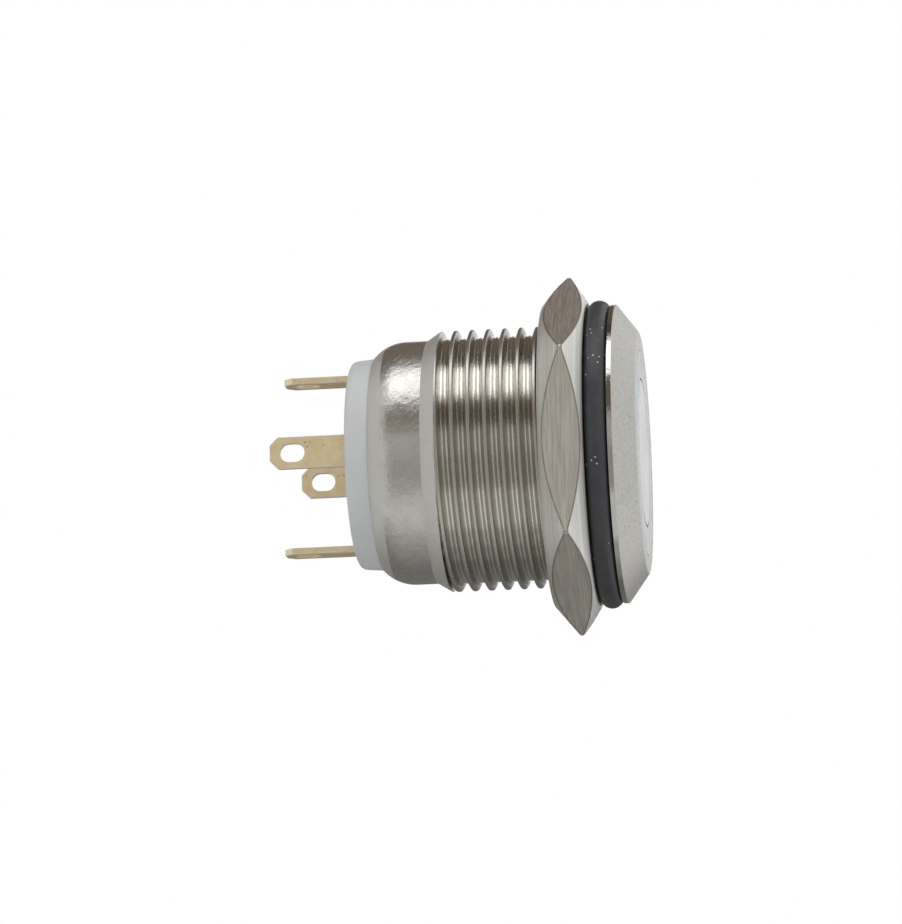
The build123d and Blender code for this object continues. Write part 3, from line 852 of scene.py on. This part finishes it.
# %% Join the thread to the housing
def joined(name, *pieces):
    """Joins meshes into one piece and keeps each face's finish."""
    materials = list(dict.fromkeys(m for piece in pieces for m in piece.data.materials))
    points, faces, indices = [], [], []
    for piece in pieces:
        base = len(points)
        points += [v.co.copy() for v in piece.data.vertices]
        for face in piece.data.polygons:
            faces.append([base + v for v in face.vertices])
            indices.append(materials.index(piece.data.materials[face.material_index]))
    for piece in pieces:
        bpy.data.objects.remove(piece)
    result = built(name, points, faces, *materials)
    result.data.polygons.foreach_set("material_index", indices)
    return result


settle(joined("housing_shell", housing, housing_thread), "housing", "nickel_plated_brass", "housing")

# %% [markdown]
# ### The hexagon nut
# The nut is a hexagon bar turned to a cone from each face, so each flat keeps a leaf-shaped rest where
# the cones did not reach. Its outline follows a rule: at each angle the radius of the flat is known, and
# so are the heights at which the two cones cut it. A column of points is worked out for each angle, with
# the same number of points in all, and neighbouring columns are joined by faces. The edges of
# the leaves then follow the true curves.

# %% Hexagon nut
nut_front_y, nut_rear_y = 1.40, 4.12
nut_seat_r, nut_mouth, nut_flat_r = 8.05, 0.08, 9.57
nut_ridge = Vector((11.125, 2.57))
front_slope, rear_slope = tan(radians(57.0)), tan(radians(50.8))
ridge_round, leaf_round = 0.18, 0.05
nut_tilt = radians(6.4)

to_front = Vector((-front_slope, -1)).normalized()
to_rear = Vector((-rear_slope, 1)).normalized()
half_ridge = to_front.angle(to_rear) / 2
ridge_center = nut_ridge + (to_front + to_rear).normalized() * ridge_round / sin(half_ridge)
front_touch = nut_ridge + to_front * ridge_round / tan(half_ridge)
rear_touch = nut_ridge + to_rear * ridge_round / tan(half_ridge)
front_start, rear_start = 3 * corner_points, 4 * corner_points


def ridge_arc(touch, r_flat):
    """Points on the rounded ridge, from a cone to where the flat cuts it."""
    spoke = touch - ridge_center
    first = atan2(spoke.y, spoke.x)
    last = acos(min(1, (r_flat - ridge_center.x) / ridge_round)) * (1 if first > 0 else -1)
    angles = [first + (last - first) * i / (corner_points - 1) for i in range(corner_points)]
    return [ridge_center + ridge_round * Vector((cos(a), sin(a))) for a in angles]


def nut_column(angle):
    """The nut's closed section at one angle from the middle of a flat, as (radius, y) points."""
    r_flat = min(nut_flat_r / cos(angle), ridge_center.x + ridge_round)
    below = nut_ridge.x - r_flat
    front_r = nut_ridge.x - (nut_ridge.y - nut_front_y) * front_slope
    rear_r = nut_ridge.x - (nut_rear_y - nut_ridge.y) * rear_slope
    corners = [
        (nut_seat_r, nut_front_y + nut_mouth), (nut_seat_r + nut_mouth, nut_front_y),
        (front_r, nut_front_y, leaf_round), (r_flat, nut_ridge.y - below / front_slope, leaf_round),
        (r_flat, nut_ridge.y + below / rear_slope, leaf_round), (rear_r, nut_rear_y, leaf_round),
        (nut_seat_r + nut_mouth, nut_rear_y), (nut_seat_r, nut_rear_y - nut_mouth),
    ]
    column = soften(corners, 0.02)
    if r_flat > front_touch.x:
        column[front_start:rear_start] = ridge_arc(front_touch, r_flat)
    if r_flat > rear_touch.x:
        column[rear_start:rear_start + corner_points] = ridge_arc(rear_touch, r_flat)[::-1]
    return column


columns_per_flat, crowding = 44, 1.6
columns = []
for flat_index in range(6):
    for i in range(columns_per_flat):
        share = 2 * i / columns_per_flat - 1
        angle = radians(30) * (1 - (1 - abs(share)) ** crowding) * (1 if share > 0 else -1)
        heading = radians(60 * flat_index + 30) + angle + nut_tilt
        columns.append([(r * sin(heading) * MM, y * MM, r * cos(heading) * MM) for r, y in nut_column(angle)])
rows = len(columns[0])
points = [point for column in columns for point in column]
faces = []
for c in range(len(columns)):
    n = (c + 1) % len(columns)
    for k in range(rows):
        m = (k + 1) % rows
        faces.append((c * rows + k, n * rows + k, n * rows + m, c * rows + m))
nut_body = built("nut_body", points, faces, nut_nickel, nut_flat_nickel, front_cone_painted_light, leaf_edge_painted_reflection)
flat_row = rear_start - 1
for face in nut_body.data.polygons:
    row = face.index % rows
    if row == flat_row:
        face.material_index = 1
    # The front cone takes the brighter painted-light finish.
    elif front_start - corner_points <= row < front_start:
        face.material_index = 2
    # The rounded leaf edges take the dark painted-reflection finish.
    elif abs(row - flat_row) < corner_points:
        face.material_index = 3
print("nut:", len(faces), "faces in", len(columns), "columns")

# %% Thread inside the nut
nut_thread = grown("nut_thread", thread, nut_nickel, Turns=3.7, Start_Turn=-1.13, First_Ridge=2.05 * MM,
                   Seat_Radius=8.15 * MM, Root_Radius=8.045 * MM, Crest_Radius=7.51 * MM,
                   Cone_End=1.0, Cone_Length=0.1 * MM,
                   Low_Face=(nut_front_y + 0.03) * MM, High_Face=(nut_rear_y - 0.03) * MM)
settle(joined("nut", nut_body, nut_thread), "nut", "nickel_plated_nut", "hex_nut", angle_deg=28)

# %% [markdown]
# ### The O-ring and the white rear end
# The O-ring is a plain torus of rubber behind the flange. The white moulding shows only its short
# neck and rear face; the rest sits inside the rolled edge, and its shoulder follows the roll.

# %% O-ring
ring_wire_r, ring_middle_r, ring_y, ring_points = 0.68, 8.73, 0.70, 40
turns = [2 * pi * i / ring_points for i in range(ring_points)]
section = [(ring_middle_r + ring_wire_r * cos(a), ring_y + ring_wire_r * sin(a)) for a in turns]
settle(spin("o_ring", section, ring_rubber), "gasket", "gasket_rubber", "panel_gasket", angle_deg=60)

# %% White rear end
base_neck_r, base_rear_r, base_rear_y, base_front_y = 6.52, 6.38, 16.047, 10.97
recess_r, recess_y, play = 2.8, 15.75, 0.04
shoulder = [(r - play, y, 0) for r, y, size in roll(roll_radius - skirt_wall, 0, inner_end)]
profile = [
    (0, recess_y), (recess_r, recess_y, 0.12), (recess_r, base_rear_y, 0.12),
    (base_rear_r, base_rear_y, 0.42), (base_neck_r, lip_y - 0.2, 0.05), *reversed(shoulder),
    (skirt_r - play, base_front_y, 0.05), (0, base_front_y),
]
rear_end = spin("white_rear_end", soften(profile, 0.05, closed=False), base_white, closed=False)
settle(rear_end, "housing", "base_moulding", "insulator_base")

# %% [markdown]
# ### The terminals
# Four terminals are punched from the same strip: a blade with clipped corners and an oblong eye. One
# tree draws the outline and the eye as curves, fills and thickens them, and turns the blade to
# its quarter; only the lengths and the hidden inner ends differ.

# %% The tree for a terminal
blade = Group("terminal_blade", "Geometry", {
    "Root": 10.5 * MM, "Tip": 20.5 * MM, "Width": 1.95 * MM, "Thickness": 0.4 * MM, "Corner": 0.5 * MM,
    "Eye Width": 1.12 * MM, "Eye Length": 1.5 * MM, "Eye from Tip": 0.62 * MM, "Radius": 5.29 * MM,
    "Angle": 0.0, "Inner Size": (0.0, 0.0, 0.0), "Inner Centre": (0.0, 0.0, 0.0),
})
calc = blade.math


def rounded(width, height, middle_y, count, radius):
    """A rectangle about (0, middle_y) whose corners are cut in a number of steps."""
    curve = blade.get("GeometryNodeCurvePrimitiveQuadrilateral", Width=width, Height=height)
    curve = blade.get("GeometryNodeFilletCurve", {"mode": "POLY"}, Curve=curve, Count=count, Radius=radius)
    return moved(curve, y=middle_y)


def moved(geometry, **place):
    """Moves a geometry."""
    return blade.get("GeometryNodeTransform", Geometry=geometry, Translation=blade.xyz(**place))


def together(*parts):
    """Joins parts; the last one comes first in the result."""
    join = blade.add("GeometryNodeJoinGeometry")
    for part in parts:
        blade.tree.links.new(part, join.inputs[0])
    return join.outputs[0]


middle = calc("MULTIPLY", calc("ADD", blade["Tip"], blade["Root"]), 0.5)
outline = rounded(blade["Width"], calc("SUBTRACT", blade["Tip"], blade["Root"]), middle, 1, blade["Corner"])
eye_top = calc("SUBTRACT", blade["Tip"], blade["Eye from Tip"])
eye_y = calc("SUBTRACT", eye_top, calc("MULTIPLY", blade["Eye Length"], 0.5))
eye_round = calc("MULTIPLY", blade["Eye Width"], 0.4999)
eye = rounded(blade["Eye Width"], blade["Eye Length"], eye_y, 10, eye_round)
sheet = blade.get("GeometryNodeFillCurve", Curve=together(eye, outline))
thick = blade.get("GeometryNodeExtrudeMesh", Mesh=sheet, Offset=blade.xyz(z=1.0),
                  Offset_Scale=blade["Thickness"], Individual=False)
under = blade.get("GeometryNodeFlipFaces", Mesh=sheet)
closed = blade.get("GeometryNodeMergeByDistance", Geometry=together(thick, under), Distance=0.001 * MM)
lift = calc("SUBTRACT", blade["Radius"], calc("MULTIPLY", blade["Thickness"], 0.5))
inner = blade.get("GeometryNodeMeshCube", Size=blade["Inner Size"])
inner = blade.get("GeometryNodeTransform", Geometry=inner, Translation=blade["Inner Centre"])
whole = together(moved(closed, z=lift), inner)
blade.give(blade.get("GeometryNodeTransform", Geometry=whole, Rotation=blade.xyz(y=blade["Angle"])))

# %% Four terminals
terminal_clock = radians(10.3)
sharp_angle, stamped_edge = radians(40), 0.035 * MM
# Where the blade starts, and the size and the middle of its hidden inner end, in millimetres.
switched = (10.55, (1.95, 0.4, 2.6), (0, 10.75, 4.19))
lighting = (11.97, (0.8, 8.25, 0.4), (0, 7.845, 5.29))
terminals = {
    "terminal_light_plus": (0, 20.397, lighting),
    "terminal_normally_open": (1, 20.247, switched),
    "terminal_light_minus": (2, 20.547, lighting),
    "terminal_common": (3, 20.647, switched),
}
for node, (quarter, tip, (root, size, centre)) in terminals.items():
    piece = grown(node + "_blade", blade, gold_plate, Root=root * MM, Tip=tip * MM,
                  Angle=terminal_clock + quarter * pi / 2,
                  Inner_Size=Vector(size) * MM, Inner_Centre=Vector(centre) * MM)
    bm = bmesh.new()
    bm.from_mesh(piece.data)
    bmesh.ops.remove_doubles(bm, verts=bm.verts, dist=1e-7)
    edges = [e for e in bm.edges if len(e.link_faces) == 2 and e.calc_face_angle() > sharp_angle]
    bmesh.ops.bevel(bm, geom=edges, offset=stamped_edge, segments=2, affect="EDGES", clamp_overlap=True)
    bm.to_mesh(piece.data)
    bm.free()
    settle(piece, "housing", "plated_terminal", node)

# %% [markdown]
# ### The front: light ring and cap
# From the front the button shows a metal cap, which the finger presses, in a ring of frosted plastic
# that the diodes light from behind. Both are turned forms with a soft edge.

# %% Light ring and cap
ring_bore_r, ring_rear_y, ring_step_y, ring_end_y = 4.56, 2.60, -0.40, 3.08
ring_outer_r, ring_skirt_r, ring_window_r = 6.48, 6.13, window_r - 0.02
profile = [
    (ring_bore_r, front_y, 0.06), (ring_window_r, front_y, 0.03), (ring_window_r, ring_step_y),
    (ring_outer_r, ring_step_y), (ring_outer_r, ring_end_y), (ring_skirt_r, ring_end_y),
    (ring_skirt_r, ring_rear_y), (ring_bore_r, ring_rear_y),
]
light_ring = spin("light_ring", soften(profile, 0.03), light_ring_plastic)
settle(light_ring, "housing", "clear_plastic", "halo_light_ring")

cap_r, groove_r, spigot_r, spigot_y = 4.48, 3.96, 1.2, 3.80
groove_front_y, groove_rear_y = 0.07, 0.73
profile = [
    (0, front_y), (cap_r, front_y, 0.14), (cap_r, groove_front_y), (groove_r, groove_front_y),
    (groove_r, groove_rear_y), (cap_r, groove_rear_y), (cap_r, ring_rear_y, 0.05),
    (spigot_r, ring_rear_y), (spigot_r, spigot_y, 0.05), (0, spigot_y),
]
cap = spin("pressed_cap", soften(profile, 0.03, closed=False), cap_steel, closed=False)
settle(cap, "button", "satin_button_metal", "actuator_cap")

# %% [markdown]
# ### The return spring
# The spring stands between the plunger's shoulder and the carrier's seat. Its front end goes in with
# the button and its rear end stays. Here it is a copy of the solid model's spring, which rides on the
# button as one piece and keeps its length.

# %% Return spring
spring_wire = placed("return_spring_wire", frame["nodes"]["return_spring"].data.copy())
settle(spring_wire, "button", "spring_steel", "return_spring")
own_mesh(spring_wire)
